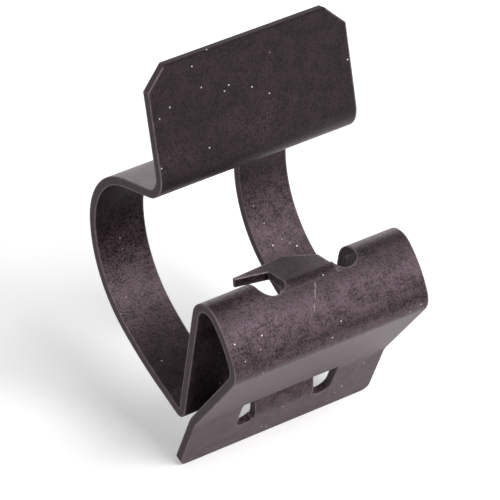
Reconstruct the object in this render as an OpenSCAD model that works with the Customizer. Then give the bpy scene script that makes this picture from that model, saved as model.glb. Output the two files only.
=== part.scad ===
// Hanger for flexible conduit: one strip of spring steel, bent about parallel lines.
// X runs across the strip, Y runs back and Z up. The origin is on the lip's rear face.
// The strip is followed from the lip's free edge to the thumb plate's free edge.
// A pitch is the angle of a stretch of the strip: 0 runs straight back, 90 straight up.

/* [Strip] */
// Width of the strip
strip_w = 32; // [28:0.5:38]
// Thickness of the sheet
sheet_t = 1.25; // [0.9:0.05:1.5]
// Width of each of the two legs beside the window
leg_w = 8; // [6.5:0.25:9.5]

/* [Lip and flange] */
// Length of the flat lip below the knee
lip_l = 9.05; // [8:0.05:12]
// Pitch of the lip
lip_pitch = 112.9; // [106:0.1:118]
// Radius of the knee, at the middle of the sheet
knee_r = 5.45; // [3:0.05:8]
// Length of the flat flange above the knee
flange_l = 14.05; // [12.5:0.05:17]
// Pitch of the flange
flange_pitch = 127.6; // [124:0.1:132]
// Rounding of the lip's free corners
lip_corner_r = 1.2; // [0.4:0.1:2.5]
// Height of the seat's middle above the lip's free edge
seat_h = 2.2; // [1.5:0.1:2.8]

/* [Nose] */
// Radius of the waist between flange and front
waist_r = 2.45; // [1.6:0.05:3.5]
// Pitch at the foot of the bowed front
front_pitch = 67.8; // [62:0.1:74]
// Radius of the bowed front
front_r = 14.6; // [12:0.1:20]
// Pitch at which the front passes into the nose
crest_pitch = 40.6; // [35:0.1:48]
// Radius of the nose
nose_r = 2.7; // [2:0.1:3.4]
// Gap of the jaw between the fold and the lip's rear face
jaw_gap = 1.2; // [0.8:0.05:2.5]
// Gap left inside the sharp fold
fold_gap = 0.2; // [0.2:0.1:1.5]

/* [Loop] */
// Length of the flat sill behind the fold
sill_l = 5; // [3:0.5:7]
// Pitch of the sill
sill_pitch = 22.8; // [19:0.1:27]
// Radius of the loop's floor
floor_r = 48; // [36:1:60]
// Pitch at which the floor passes into the back
heel_pitch = 34.3; // [31:0.1:38]
// Radius of the loop's back
back_r = 16.7; // [14:0.1:20]
// Pitch at which the back passes into the crown
back_pitch = 88.6; // [84:0.1:94]
// Radius of the loop's crown
crown_r = 10.4; // [8:0.2:13]

/* [Thumb plate] */
// Length of the ramp between crown and thumb bend
ramp_l = 6.3; // [5:0.1:9]
// Pitch of the ramp
ramp_pitch = 166; // [160:1:172]
// Radius of the thumb bend
thumb_r = 3.2; // [2:0.1:4]
// Length of the thumb plate above its bend
plate_l = 15.1; // [11:0.1:20]
// Pitch of the thumb plate
plate_pitch = 77; // [70:1:88]
// Cut of the thumb plate's two corners
plate_clip = 3.1; // [1.5:0.1:5]

/* [Window and hook] */
// Rounding of the window's corners in the ramp
window_r = 2; // [1:0.1:3]
// Length of the window in the ramp
window_ramp_l = 2; // [0.5:0.1:3]
// Width of the hook's stem between the two notches
stem_w = 7.8; // [6:0.1:9]
// Radius of the hook's bend
stem_r = 1.6; // [1:0.1:2]
// Pitch of the hook
hook_pitch = -6; // [-10:0.5:2]
// Reach of the stem's whole width behind the notches
stem_l = 4.1; // [3.4:0.1:5.4]
// Reach of the hook's rear edge behind the notches
hook_l = 6.8; // [6.5:0.1:8]
// Reach of the barb to the side of the stem
barb_w = 4.7; // [2:0.1:5]
// Reach of the root of the barb behind the notches
barb_root = 4.5; // [3.8:0.1:5.2]
// Reach of the barb's tip behind the notches
barb_tip = 5.8; // [5.4:0.1:6.2]

/* [Slot and tongue] */
// Height of the slot's lower edge above the lip's free edge
slot_h = 4.4; // [3.4:0.1:5]
// Length of the slot up the lip
slot_l = 5.8; // [5:0.1:6.4]
// Width of the slot
slot_w = 16; // [13:0.5:20]
// Width of the tongue
tongue_w = 9.8; // [7:0.1:10]
// Height of the tongue's root above the slot's lower edge
root_h = 0.6; // [0.3:0.1:1]
// Radius of the tongue's bend
tongue_r = 4; // [2.5:0.5:6]
// Angle through which the tongue leans in behind the lip
tongue_lean = 26; // [15:1:35]
// Gap between the tongue's tip and the slot's upper edge in the flat
tongue_gap = 0.5; // [0.3:0.1:1]

/* [Hidden] */
$fn = 96;
steel_col = [0.23, 0.2, 0.21];
window_w = strip_w - 2 * leg_w;
notch_w = (window_w - stem_w) / 2;
far = 2 * strip_w;
// Height by which a true arc stands proud of its two straights, so that they cross cleanly
proud = 0.0003;
// Step left where the hook is rooted in the front, its lap over the notches' roundings, and its root's depth
seam = 0.005;
side_lap = 0.01;
root_l = 0.2;

// All is drawn in the lip's frame: the first axis up the lip, the second out of its front face.
// In it an angle is a pitch less the lip's. A path is a list of stretches, each
// [straight length, angle, radius of the bend that follows].
function along(a) = [cos(a), sin(a)];
function out(a) = [-sin(a), cos(a)];
function setback(path, i) =
    i < 1 || i >= len(path) ? 0 : path[i - 1][2] * tan(abs(path[i][1] - path[i - 1][1]) / 2);
// Where the middle lines of two neighbouring straights meet, and the two ends of the path
function corner(path, i) = i == 0 ? [0, 0] :
    corner(path, i - 1) + (setback(path, i - 1) + path[i - 1][0] + setback(path, i)) * along(path[i - 1][1]);
// Where a bend starts, and its centre
function bend_start(path, i) = corner(path, i) - setback(path, i) * along(path[i - 1][1]);
function bend_side(path, i) = path[i][1] > path[i - 1][1] ? 1 : -1;
function bend_centre(path, i) =
    bend_start(path, i) + bend_side(path, i) * path[i - 1][2] * out(path[i - 1][1]);
// Corner of the sheet's surface on one side
function mitre(path, i, offset) =
    let (a0 = path[max(i - 1, 0)][1], a1 = path[min(i, len(path) - 1)][1])
    corner(path, i) + offset / cos((a1 - a0) / 2) * out((a0 + a1) / 2);

crest_a = crest_pitch - lip_pitch;
hook_a = hook_pitch - lip_pitch;
ramp_a = ramp_pitch - lip_pitch;
up = along(90 - lip_pitch);
back = along(-lip_pitch);
front_path = [
    [lip_l, 0, knee_r],
    [flange_l, flange_pitch - lip_pitch, waist_r],
    [0, front_pitch - lip_pitch, front_r],
    [0, crest_a, nose_r]];
crest = corner(front_path, 4);

// The fold lies over the head of the flat lip, and the rear panel is the tangent from nose to fold
fold_r = (sheet_t + fold_gap) / 2;
nose_c = crest - nose_r * out(crest_a);
fold_c = [lip_l, -sheet_t - jaw_gap - fold_r];
fold_way = fold_c - nose_c;
rear_l = sqrt(fold_way * fold_way - pow(nose_r + fold_r, 2));
rear_turn = atan2(fold_way.y, fold_way.x) - atan2(nose_r + fold_r, rear_l);
rear_a = rear_turn > 0 ? rear_turn - 360 : rear_turn;

strip = concat(front_path, [
    [rear_l, rear_a, fold_r],
    [sill_l, sill_pitch - lip_pitch, floor_r],
    [0, heel_pitch - lip_pitch, back_r],
    [0, back_pitch - lip_pitch, crown_r],
    [ramp_l, ramp_a, thumb_r],
    [plate_l, plate_pitch - lip_pitch, 0]]);
plate_end = corner(strip, 10);
window_end = bend_start(strip, 9) - (ramp_l - window_ramp_l) * along(ramp_a);

// Draws in the frame of one bend: the origin at its centre, the first axis along the sheet where it starts
module at_bend(path, i) {
    translate(bend_centre(path, i)) rotate(path[i - 1][1]) children();
}

// What a bend's outer arc takes off the sheet's corner
module bend_waste(path, i, t) {
    r = path[i - 1][2] + t / 2;
    turn = abs(path[i][1] - path[i - 1][1]);
    side = bend_side(path, i);
    at_bend(path, i) difference() {
        polygon([for (k = [[0, 0], [r + 0.2, 0], [r / cos(turn / 2) + 0.2, turn / 2], [r + 0.2, turn]])
            k[0] * [sin(k[1]), -side * cos(k[1])]]);
        circle(r + proud);
    }
}

// The bend itself, whose ends taper into the sheet
module bend_ring(path, i, t) {
    r = path[i - 1][2];
    turn = abs(path[i][1] - path[i - 1][1]);
    side = bend_side(path, i);
    reach = 2 * r + t;
    at_bend(path, i) intersection() {
        difference() {
            circle(r + t / 2 + proud);
            circle(r - t / 2 + proud);
        }
        polygon([for (k = [[0, 0], [r, 0], [reach, turn / 10], [reach, turn / 2], [reach, turn * 0.9], [r, turn]])
            k[0] * [sin(k[1]), -side * cos(k[1])]]);
    }
}

// Section of the sheet along a path
module section(path, t = sheet_t) {
    last = len(path);
    difference() {
        polygon(concat([for (i = [0:last]) mitre(path, i, t / 2)], [for (i = [last:-1:0]) mitre(path, i, -t / 2)]));
        for (i = [1:last - 1]) bend_waste(path, i, t);
    }
    for (i = [1:last - 1]) bend_ring(path, i, t);
}

// A band across the strip, centred on its middle
module band(w) {
    translate([-w / 2, 0, 0]) rotate([90, 0, 90]) linear_extrude(w) children();
}

// Puts an outline, drawn across and along the strip, through the sheet at a point with a given angle
module through_sheet(p, a) {
    translate([0, p.x, p.y]) rotate([a, 0, 0])
        translate([0, 0, -1.5 * sheet_t]) linear_extrude(3 * sheet_t) children();
}

// What a corner's rounding takes off, drawn around the rounding's centre
module corner_waste(r) {
    difference() {
        translate([0, -r - 1]) square(r + 1);
        circle(r);
    }
}

module both_sides() {
    children();
    mirror([1, 0, 0]) children();
}

// Outline of the slot around the tongue: two reliefs with round floors, joined above the root
module slot_outline() {
    relief_w = (slot_w - tongue_w) / 2;
    floor_r = relief_w / 2;
    translate([-tongue_w / 2 - floor_r, slot_h + root_h])
        square([tongue_w + relief_w, slot_l - root_h]);
    both_sides() translate([tongue_w / 2 + floor_r, slot_h + floor_r]) {
        circle(floor_r);
        translate([-floor_r, 0]) square([relief_w, slot_l - floor_r]);
    }
}

module lip_cuts() {
    through_sheet([0, 0], 0) {
        slot_outline();
        both_sides() translate([strip_w / 2 - lip_corner_r, lip_corner_r]) corner_waste(lip_corner_r);
    }
}

// Tongue lanced from the slot, leaning in behind the lip as a barb
module tongue() {
    lean_l = slot_l - root_h - tongue_gap - tongue_r * tongue_lean * PI / 180;
    band(tongue_w) translate([slot_h - 0.5, 0])
        section([[root_h + 0.5, 0, tongue_r], [lean_l, -tongue_lean, 0]]);
}

// Region between crest and window's end, which holds nose, rear panel, fold and loop
module window_zone() {
    jaw_mid = [lip_l, -(sheet_t + jaw_gap) / 2];
    polygon([nose_c, crest + 2 * sheet_t * out(crest_a), crest + 2 * sheet_t * out(crest_a) + 1.5 * nose_r * up,
             window_end + 1.5 * sheet_t * out(ramp_a), window_end - 3 * sheet_t * out(ramp_a),
             window_end + far * back + ramp_l * up, jaw_mid + far * back - lip_l * up,
             jaw_mid - [lip_l / 3, 0], jaw_mid]);
}

// The window with the two notches' round floors and its own rounded corners in the ramp
module window_cut() {
    difference() {
        band(window_w) window_zone();
        through_sheet(crest, crest_a) both_sides() difference() {
            translate([stem_w / 2, -1]) square([notch_w + 1, 1 + 0.4 * notch_w]);
            translate([(stem_w + notch_w) / 2, notch_w / 2]) circle(notch_w / 2);
        }
        through_sheet(window_end, ramp_a) both_sides()
            translate([window_w / 2 - window_r, -window_r]) mirror([0, 1]) corner_waste(window_r);
    }
}

module plate_clips() {
    through_sheet(plate_end, plate_pitch - lip_pitch) both_sides()
        polygon([[strip_w / 2 - plate_clip, 0], [strip_w / 2, -plate_clip], [strip_w / 2 + 1, -plate_clip],
                 [strip_w / 2 + 1, 1], [strip_w / 2 - plate_clip, 1]]);
}

// The hook: a stem with one clipped corner, and a barb on its left side
module hook_outline() {
    half_w = stem_w / 2 + side_lap;
    polygon([[-half_w, -1], [-half_w, barb_root], [-half_w - barb_w, barb_tip],
             [-half_w - barb_w, barb_tip + 0.4], [-half_w, hook_l - 0.3], [0, hook_l],
             [half_w, stem_l], [half_w, -1]]);
}

module hook() {
    root = crest - root_l * along(crest_a);
    intersection() {
        band(strip_w) translate(root)
            section([[root_l, crest_a, stem_r], [2 * hook_l, hook_a, 0]], sheet_t - 2 * seam);
        through_sheet(crest, hook_a) hook_outline();
    }
}

module hanger() {
    color(steel_col)
        rotate([lip_pitch, 0, 0]) translate([0, -seat_h, sheet_t / 2]) {
            difference() {
                band(strip_w) section(strip);
                window_cut();
                lip_cuts();
                plate_clips();
            }
            tongue();
            hook();
        }
}

hanger();
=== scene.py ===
import math
import bmesh
import bpy
from mathutils import Matrix, Vector


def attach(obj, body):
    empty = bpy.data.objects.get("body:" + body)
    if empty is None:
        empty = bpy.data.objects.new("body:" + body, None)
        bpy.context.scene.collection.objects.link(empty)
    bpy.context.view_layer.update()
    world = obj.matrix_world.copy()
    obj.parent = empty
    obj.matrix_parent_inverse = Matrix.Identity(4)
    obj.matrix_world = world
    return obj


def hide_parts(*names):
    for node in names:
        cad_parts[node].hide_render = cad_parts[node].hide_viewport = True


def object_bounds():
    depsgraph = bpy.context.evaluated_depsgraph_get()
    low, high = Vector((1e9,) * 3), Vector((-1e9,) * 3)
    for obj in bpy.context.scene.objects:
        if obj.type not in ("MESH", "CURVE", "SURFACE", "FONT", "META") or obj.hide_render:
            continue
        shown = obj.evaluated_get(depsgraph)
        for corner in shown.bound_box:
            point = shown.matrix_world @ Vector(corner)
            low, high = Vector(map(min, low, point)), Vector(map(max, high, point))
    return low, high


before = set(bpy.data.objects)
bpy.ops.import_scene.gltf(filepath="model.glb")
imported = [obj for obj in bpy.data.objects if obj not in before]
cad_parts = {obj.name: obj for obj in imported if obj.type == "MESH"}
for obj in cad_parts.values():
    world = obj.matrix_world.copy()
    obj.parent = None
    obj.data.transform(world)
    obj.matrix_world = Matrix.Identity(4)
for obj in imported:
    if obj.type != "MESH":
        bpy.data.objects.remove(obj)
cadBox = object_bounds()
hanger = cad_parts["hanger"]
print("loaded the folded strip")


class Socket:  # one output of a node, so that maths on it can be written as Python
    def __init__(self, tree, out):
        self.tree = tree
        self.out = out

    def math(self, operation, other=None, swap=False):
        values = [self] if other is None else [self, other]
        if swap:
            values.reverse()
        return self.tree.node("ShaderNodeMath", {"operation": operation}, values)

    def __add__(self, other):
        return self.math("ADD", other)

    def __radd__(self, other):
        return self.math("ADD", other, True)

    def __sub__(self, other):
        return self.math("SUBTRACT", other)

    def __rsub__(self, other):
        return self.math("SUBTRACT", other, True)

    def __mul__(self, other):
        return self.math("MULTIPLY", other)

    def __rmul__(self, other):
        return self.math("MULTIPLY", other, True)

    def __gt__(self, other):
        return self.math("GREATER_THAN", other)

    def __lt__(self, other):
        return self.math("LESS_THAN", other)


class Tree:  # the nodes of a material or of the world, all made through one method
    def __init__(self, owner):
        owner.use_nodes = True
        self.nodes = owner.node_tree.nodes
        self.links = owner.node_tree.links
        self.nodes.clear()

    def raw(self, kind, settings=None, inputs=None):
        made = self.nodes.new(kind)
        for key, value in (settings or {}).items():
            setattr(made, key, value)
        pairs = inputs.items() if isinstance(inputs, dict) else enumerate(inputs or [])
        for key, value in pairs:
            if isinstance(value, Socket):
                self.links.new(value.out, made.inputs[key])
            else:
                made.inputs[key].default_value = value
        return made

    def node(self, kind, settings=None, inputs=None, out=0):
        return Socket(self, self.raw(kind, settings, inputs).outputs[out])

    def parts(self, vector):  # its X, Y and Z
        return [Socket(self, out) for out in self.raw("ShaderNodeSeparateXYZ", {}, [vector]).outputs]

    def noise(self, where, scale, detail, roughness=0.55):
        return self.node("ShaderNodeTexNoise", {}, {
            "Vector": where, "Scale": scale, "Detail": detail, "Roughness": roughness})

    def band(self, value, low, high, start=0.0, end=1.0):  # from start at low to end at high
        return self.node("ShaderNodeMapRange", {}, [value, low, high, start, end])

    def hump(self, value, low, full, fading, gone):  # up between the first two, down between the last two
        return self.band(value, low, full) * self.band(value, fading, gone, 1.0, 0.0)

    def mix(self, amount, first, second):  # two colours, which sit on the node's sockets 6 and 7
        colours = [value if isinstance(value, Socket) else (*value, 1) for value in (first, second)]
        return self.node("ShaderNodeMix", {"data_type": "RGBA"}, {0: amount, 6: colours[0], 7: colours[1]}, 2)

    def seen(self):  # 1 where the camera looks at it, straight, in a reflection or through something clear
        path = self.raw("ShaderNodeLightPath")
        straight = Socket(self, path.outputs["Is Camera Ray"])
        mirrored = Socket(self, path.outputs["Is Glossy Ray"])
        through = Socket(self, path.outputs["Is Transmission Ray"])
        return straight.math("MAXIMUM", mirrored).math("MAXIMUM", through)


def addObject(name, data):
    made = bpy.data.objects.new(name, data)
    bpy.context.scene.collection.objects.link(made)
    return made


notchLook = {                               # the left notch beside the hook, in metres
    "crest": (-0.0088271, 0.0263926),       # Y and Z of the strip's middle where front meets nose
    "pitch": 40.6,                          # degrees, of the strip there
    "bend": 0.0027,                         # radius of the nose, at the middle of the sheet
    "sheet": 0.00125,
    "inner": 0.0039,                        # the hook's side and the leg's side, from the middle
    "outer": 0.0080,
    "reach": 0.80,                          # share of the radius up to which the floor is rounded
    "steps": 14,
    "weld": 1e-7,                           # points closer than this become one
    "sharpFrom": 24,                        # degrees between faces from which their edge is hard
}


def makeRounding(look):  # what the round floor leaves in the square cut: two cusps joined at the floor
    radius = (look["outer"] - look["inner"]) / 2
    middle = (look["outer"] + look["inner"]) / 2
    pitch = math.radians(look["pitch"])
    crestY, crestZ = look["crest"]

    def place(x, run, side):  # on the sheet's outer (1) or inner (-1) face, a given run behind the crest
        bend = look["bend"] + side * look["sheet"] / 2
        rise = math.sqrt(bend ** 2 - run ** 2) - look["bend"]
        return (-x, crestY + run * math.cos(pitch) - rise * math.sin(pitch),
                crestZ + run * math.sin(pitch) + rise * math.cos(pitch))

    points = []
    faces = []
    ring = 4  # points round the cusp at each step
    for hand, wall in ((-1, look["inner"]), (1, look["outer"])):
        first = len(points)
        for step in range(look["steps"] + 1):
            angle = math.acos(1 - look["reach"] * step / look["steps"])
            run = radius * (1 - math.cos(angle))
            curve = middle + hand * radius * math.sin(angle)
            points += [place(curve, run, 1), place(wall, run, 1), place(wall, run, -1), place(curve, run, -1)]
        last = len(points) - ring
        for near in range(first, last, ring):
            far = near + ring
            for corner in range(ring):
                after = (corner + 1) % ring
                faces.append((near + corner, near + after, far + after, far + corner))
        faces += [(first, first + 3, first + 2, first + 1), (last, last + 1, last + 2, last + 3)]
    mesh = bpy.data.meshes.new("notchRounding")
    mesh.from_pydata(points, [], faces)
    shape = bmesh.new()
    shape.from_mesh(mesh)
    bmesh.ops.remove_doubles(shape, verts=shape.verts, dist=look["weld"])
    bmesh.ops.recalc_face_normals(shape, faces=shape.faces)
    shape.to_mesh(mesh)
    shape.free()
    return addObject("notchRounding", mesh)


def applyModifiers(piece):
    bpy.context.view_layer.update()
    made = bpy.data.meshes.new_from_object(piece.evaluated_get(bpy.context.evaluated_depsgraph_get()))
    piece.modifiers.clear()
    piece.data = made


def makeStrip(look):  # the folded strip, whose left notch is square, with that notch round as well
    rounding = makeRounding(look)
    strip = addObject("strip", hanger.data.copy())
    strip.matrix_world = hanger.matrix_world.copy()
    join = strip.modifiers.new("notch", "BOOLEAN")
    join.operation = "UNION"
    join.solver = "EXACT"
    join.object = rounding
    applyModifiers(strip)
    bpy.data.objects.remove(rounding)
    strip.data.shade_smooth()
    strip.data.set_sharp_from_angle(angle=math.radians(look["sharpFrom"]))
    even = strip.modifiers.new("evenFaces", "WEIGHTED_NORMAL")
    even.keep_sharp = True
    applyModifiers(strip)
    return strip


strip = makeStrip(notchLook)
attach(strip, "root")
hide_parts("hanger")
print("strip with both notches round", len(hanger.data.polygons), len(strip.data.polygons))

steelLook = {
    # colours
    "oilBlackAndPaintedShade": (0.004, 0.0026, 0.0032),    # the dark parts of the oiled finish, also the colour of the painted shade up the plate
    "oilBrown": (0.040, 0.0245, 0.030),     # where the finish is thinner
    "rubbedAndPaintedSheen": (0.130, 0.088, 0.104),        # where the finish is rubbed thin, and the painted sheen on faces that catch the light
    "wearAndHighlightGrey": (0.36, 0.29, 0.31),         # sharp edges, pale partly from wear and partly as painted highlight, and the scratch
    "cutColour": (0.085, 0.066, 0.070),     # sheared side faces
    "speckColour": (0.75, 0.71, 0.72),      # dust and bright specks
    # noises have repeats per metre, detail, and roughness where it isn't the usual one
    # bands of them have the values where they start and are full, and then their strength at each
    "cloud": (75, 3),
    "mottle": (520, 5, 0.65),
    "grain": (3400, 3, 0.6),
    "noiseMiddle": 0.5,                     # the value that they all lie round
    # the oiled finish
    "oilGrain": 0.6,                        # share of the grain in its pattern, the rest is mottle
    "oilTurn": (0.42, 0.58),                # values of the pattern between which black turns brown
    "hazeCloud": (0.52, 0.68, 0.0, 0.5),    # where clouds of it are rubbed thin, and how much
    "hazeGrain": (0.42, 0.6),
    # painted shade: the plate drawn darker towards its top, where it catches less light
    "paintedShadeHeights": (0.034, 0.040),            # heights between which painted shade darkens the plate
    "paintedShadeShare": 0.45,
    # sheared faces, and edges drawn pale partly as wear and partly as painted highlight
    "sideFacing": 0.7,                      # a face that looks further sideways than this is sheared
    "topEdge": 0.05677,                     # height above which the plate's sheared edge lies
    "cutGrain": (0.35, 0.65, 0.5, 1.0),
    "edgeRadius": 0.00036,
    "edgeSamples": 6,
    "edgeTurn": (0.006, 0.06),              # 1 less the cosine of its turn, where wear starts and is full
    "edgeMottle": (0.35, 0.6, 0.5, 1.0),
    "edgeShare": 0.75,
    # faces drawn lighter as painted sheen, where they catch the light
    "frontHeights": (0.0203, 0.0222, 0.0250, 0.0266),   # where it starts, is full, fades and ends
    "heelHeights": (0.0115, 0.0150, 0.0195, 0.0250),    # the same on the loop's inner side
    "heelShare": 0.75,
    "flangeHeights": (0.0200, 0.0214),      # where it fades out above the flange
    "frontDepth": 0.0025,                   # how far back the front's and the flange's faces reach
    "forwardFacing": -0.3,                  # a face looks forward below this, along Y
    "upFacing": 0.05,                       # and up above this, along Z
    "paintedSheenGrain": (0.85, 1.15, 0.25, 1.4),
    "paintedSheenShare": 0.42,
    # the scratch
    "scratchTop": 0.0267,
    "scratchFoot": 0.0240,
    "scratchWidth": 0.00016,
    "scratchSlope": 0.7,
    "scratchNoise": (900, 2),
    "scratchWander": 0.0003,                # how wide it wanders
    "scratchGrain": (0.35, 0.55),
    "scratchShare": 0.55,
    # specks
    "speckScale": 1150,
    "speckSize": 0.13,
    "speckShare": 0.14,                     # of the cells that may hold one
    "speckNoise": (160, 2),                 # they gather where this is above its middle
    "speckCover": 0.85,
    # gloss and relief
    "metal": 0.25,
    "roughness": 0.37,
    "roughMottle": 0.25,
    "roughGrain": 0.35,
    "roughCut": 0.35,
    "specular": 0.27,
    "specularTint": (1.0, 0.84, 0.92, 1.0),
    "bumpDepth": 0.00010,
    "bumpStrength": 0.9,
    "bumpMottle": 0.6,
}


def makeSteel(look):
    steel = bpy.data.materials.new("blackenedSteel")
    tree = Tree(steel)
    place = tree.node("ShaderNodeTexCoord", out="Object")
    sideways, depth, height = tree.parts(place)
    facing = tree.node("ShaderNodeNewGeometry", out="Normal")
    facingSide, facingBack, facingUp = tree.parts(facing)
    cloud = tree.noise(place, *look["cloud"])
    mottle = tree.noise(place, *look["mottle"])
    grain = tree.noise(place, *look["grain"])

    # oiled black over brown, with clouds where it is thin, and painted shade that makes it darker up the
    # plate
    pattern = (1 - look["oilGrain"]) * mottle + look["oilGrain"] * grain
    colour = tree.mix(tree.band(pattern, *look["oilTurn"]), look["oilBlackAndPaintedShade"], look["oilBrown"])
    haze = tree.band(cloud, *look["hazeCloud"]) * tree.band(grain, *look["hazeGrain"])
    colour = tree.mix(haze, colour, look["rubbedAndPaintedSheen"])
    colour = tree.mix(tree.band(height, *look["paintedShadeHeights"]) * look["paintedShadeShare"], colour, look["oilBlackAndPaintedShade"])

    # sheared faces, and edges where a rounded normal leaves the flat one, drawn pale partly as wear and
    # partly as painted highlight
    side = facingSide.math("ABSOLUTE") > look["sideFacing"]
    colour = tree.mix(side * tree.band(grain, *look["cutGrain"]), colour, look["cutColour"])
    top = height > look["topEdge"]
    rounded = tree.node("ShaderNodeBevel", {"samples": look["edgeSamples"]}, {"Radius": look["edgeRadius"]})
    turn = tree.node("ShaderNodeVectorMath", {"operation": "DOT_PRODUCT"}, [rounded, facing], out="Value")
    edge = tree.band(1 - turn, *look["edgeTurn"]) * tree.band(mottle, *look["edgeMottle"])
    colour = tree.mix(edge * (1 - top) * look["edgeShare"], colour, look["wearAndHighlightGrey"])

    # painted sheen: the bowed front and the flange, which face forward, and the loop's heel, drawn lighter
    # where they catch the light
    front = tree.hump(height, *look["frontHeights"])
    flange = tree.band(height, *look["flangeHeights"], 1.0, 0.0)
    forward = (facingBack < look["forwardFacing"]) * (depth < look["frontDepth"])
    heel = tree.hump(height, *look["heelHeights"]) * look["heelShare"]
    inside = (facingUp > look["upFacing"]) * (depth > look["frontDepth"])
    paintedSheen = (front.math("MAXIMUM", flange) * forward).math("MAXIMUM", heel * inside)
    paintedSheen = paintedSheen * look["paintedSheenShare"] * tree.band(grain + mottle, *look["paintedSheenGrain"])
    colour = tree.mix(paintedSheen, colour, look["rubbedAndPaintedSheen"])

    # one pale scratch down from the hook's root
    wander = tree.noise(place, *look["scratchNoise"]) * look["scratchWander"] - look["scratchWander"] / 2
    off = (sideways - look["scratchSlope"] * (height - look["scratchTop"]) - wander).math("ABSOLUTE")
    length = (height > look["scratchFoot"]) * (height < look["scratchTop"]) * forward
    scratch = (off < look["scratchWidth"] / 2) * length * tree.band(grain, *look["scratchGrain"])
    colour = tree.mix(scratch * look["scratchShare"], colour, look["wearAndHighlightGrey"])

    # specks, each in the middle of a cell that is picked by its random colour
    cells = tree.raw("ShaderNodeTexVoronoi", {}, {"Vector": place, "Scale": look["speckScale"]})
    near = Socket(tree, cells.outputs["Distance"]) < look["speckSize"]
    pick = tree.node("ShaderNodeSeparateColor", {}, [Socket(tree, cells.outputs["Color"])])
    gathered = tree.noise(place, *look["speckNoise"]) > look["noiseMiddle"]
    speck = near * (pick > 1 - look["speckShare"]) * gathered
    colour = tree.mix(speck * look["speckCover"], colour, look["speckColour"])

    # rougher where sheared
    rough = look["roughness"] + look["roughMottle"] * (mottle - look["noiseMiddle"])
    rough = rough + look["roughGrain"] * (grain - look["noiseMiddle"])
    rough = rough + look["roughCut"] * top.math("MAXIMUM", side)
    bump = tree.node("ShaderNodeBump", {}, {
        "Strength": look["bumpStrength"], "Distance": look["bumpDepth"],
        "Height": grain + look["bumpMottle"] * mottle, "Normal": rounded})
    skin = tree.node("ShaderNodeBsdfPrincipled", {}, {
        "Base Color": colour, "Metallic": look["metal"], "Roughness": rough, "Normal": bump,
        "Specular IOR Level": look["specular"], "Specular Tint": look["specularTint"]})
    tree.raw("ShaderNodeOutputMaterial", {}, [skin])
    return steel


strip.data.materials.clear()
strip.data.materials.append(makeSteel(steelLook))
print("steel finish on the strip")

stageLook = {
    "white": (1.0, 1.0, 1.0),
    "black": (0.0, 0.0, 0.0),
    "floorColour": (0.90, 0.90, 0.90),
    "floorRoughness": 0.9,
    "floorSize": 3.0,
    "floorLift": 0.30,                      # white added to the floor where the camera sees it
    "aim": (0, 0.003, 0.025),               # the point on the hanger that both lamps face
    "lampAway": 0.9,
    "lampSize": 0.60,
    "mainTowards": (0.24, -0.66, 0.71),     # from the hanger towards the main lamp
    "mainLevel": 0.80,                      # watts for each square metre of a sphere at its distance
    "rimTowards": (0.48, 0.86, 0.22),       # low behind, for the ramp and the hook's top
    "rimLevel": 0.22,
    "skyLevel": 0.24,                       # light of the sky on the hanger
    "skyBright": 1.0,                       # the sky where the camera sees it
}


def makeFloor(look, height):
    half = look["floorSize"] / 2
    corners = [(-half, -half, height), (half, -half, height), (half, half, height), (-half, half, height)]
    mesh = bpy.data.meshes.new("floor")
    mesh.from_pydata(corners, [], [(0, 1, 2, 3)])
    floor = addObject("floor", mesh)
    paleFloor = bpy.data.materials.new("paleFloor")
    tree = Tree(paleFloor)
    seen = tree.seen()
    colour = tree.mix(seen, look["floorColour"], look["white"])
    glow = tree.mix(seen, look["black"], look["white"])
    skin = tree.node("ShaderNodeBsdfPrincipled", {}, {
        "Base Color": colour, "Roughness": look["floorRoughness"], "Specular IOR Level": 0.0,
        "Emission Color": glow, "Emission Strength": look["floorLift"]})
    tree.raw("ShaderNodeOutputMaterial", {}, [skin])
    mesh.materials.append(paleFloor)


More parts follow.
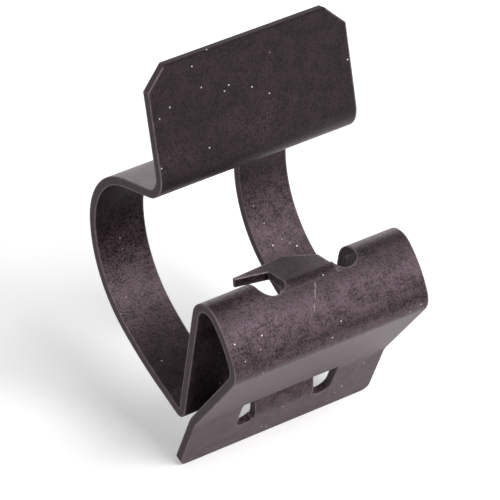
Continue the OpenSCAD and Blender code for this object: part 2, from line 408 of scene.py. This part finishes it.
def addLamp(name, look, towards, level):
    data = bpy.data.lights.new(name, "AREA")
    data.size = look["lampSize"]
    data.energy = level * (4 * math.pi * look["lampAway"] ** 2)
    lamp = addObject(name, data)
    direction = Vector(towards).normalized()
    lamp.location = Vector(look["aim"]) + direction * look["lampAway"]
    lamp.rotation_euler = direction.to_track_quat("Z", "Y").to_euler()


def makeSky(look):  # soft on the hanger, and white behind it
    world = bpy.data.worlds.new("studio")
    bpy.context.scene.world = world
    tree = Tree(world)
    colour = (*look["white"], 1)
    soft = tree.node("ShaderNodeBackground", {}, [colour, look["skyLevel"]])
    bright = tree.node("ShaderNodeBackground", {}, [colour, look["skyBright"]])
    sky = tree.node("ShaderNodeMixShader", {}, [tree.seen(), soft, bright])
    tree.raw("ShaderNodeOutputWorld", {}, [sky])


makeFloor(stageLook, cadBox[0][2])
addLamp("mainLamp", stageLook, stageLook["mainTowards"], stageLook["mainLevel"])
addLamp("rimLamp", stageLook, stageLook["rimTowards"], stageLook["rimLevel"])
makeSky(stageLook)
print("floor, lamps and sky")

viewLook = {
    "azimuth": 35.172,                      # degrees, from +Y towards +X
    "elevation": 33.570,
    "distance": 0.604209,
    "lens": 314.05,
    "sensor": 36,                           # its width in millimetres, as the lens
    "farthest": 10,                         # metres to the end of what it sees
    "across": 0.000477,                     # how far the origin lies right of the picture's middle
    "above": -0.015717,                     # and above it
    "origin": (0, 0.004814, 0.005251),      # the measured frame's origin in the hanger's frame
}


def makeCamera(look):
    turn = math.radians(look["azimuth"])
    tilt = math.radians(look["elevation"])
    ahead = Vector((math.sin(turn) * math.cos(tilt), math.cos(turn) * math.cos(tilt), -math.sin(tilt)))
    right = Vector((math.cos(turn), -math.sin(turn), 0))
    above = Vector((math.sin(turn) * math.sin(tilt), math.cos(turn) * math.sin(tilt), math.cos(tilt)))
    data = bpy.data.cameras.new("camera")
    data.lens = look["lens"]
    data.sensor_width = look["sensor"]
    data.clip_end = look["farthest"]
    camera = addObject("camera", data)
    spot = Vector(look["origin"]) - right * look["across"] - above * look["above"] - ahead * look["distance"]
    camera.matrix_world = Matrix.Translation(spot) @ Matrix((right, above, -ahead)).transposed().to_4x4()
    return camera


bpy.context.scene.camera = makeCamera(viewLook)
bpy.context.scene.view_settings.view_transform = "Standard"
print("camera at the photograph's angle")
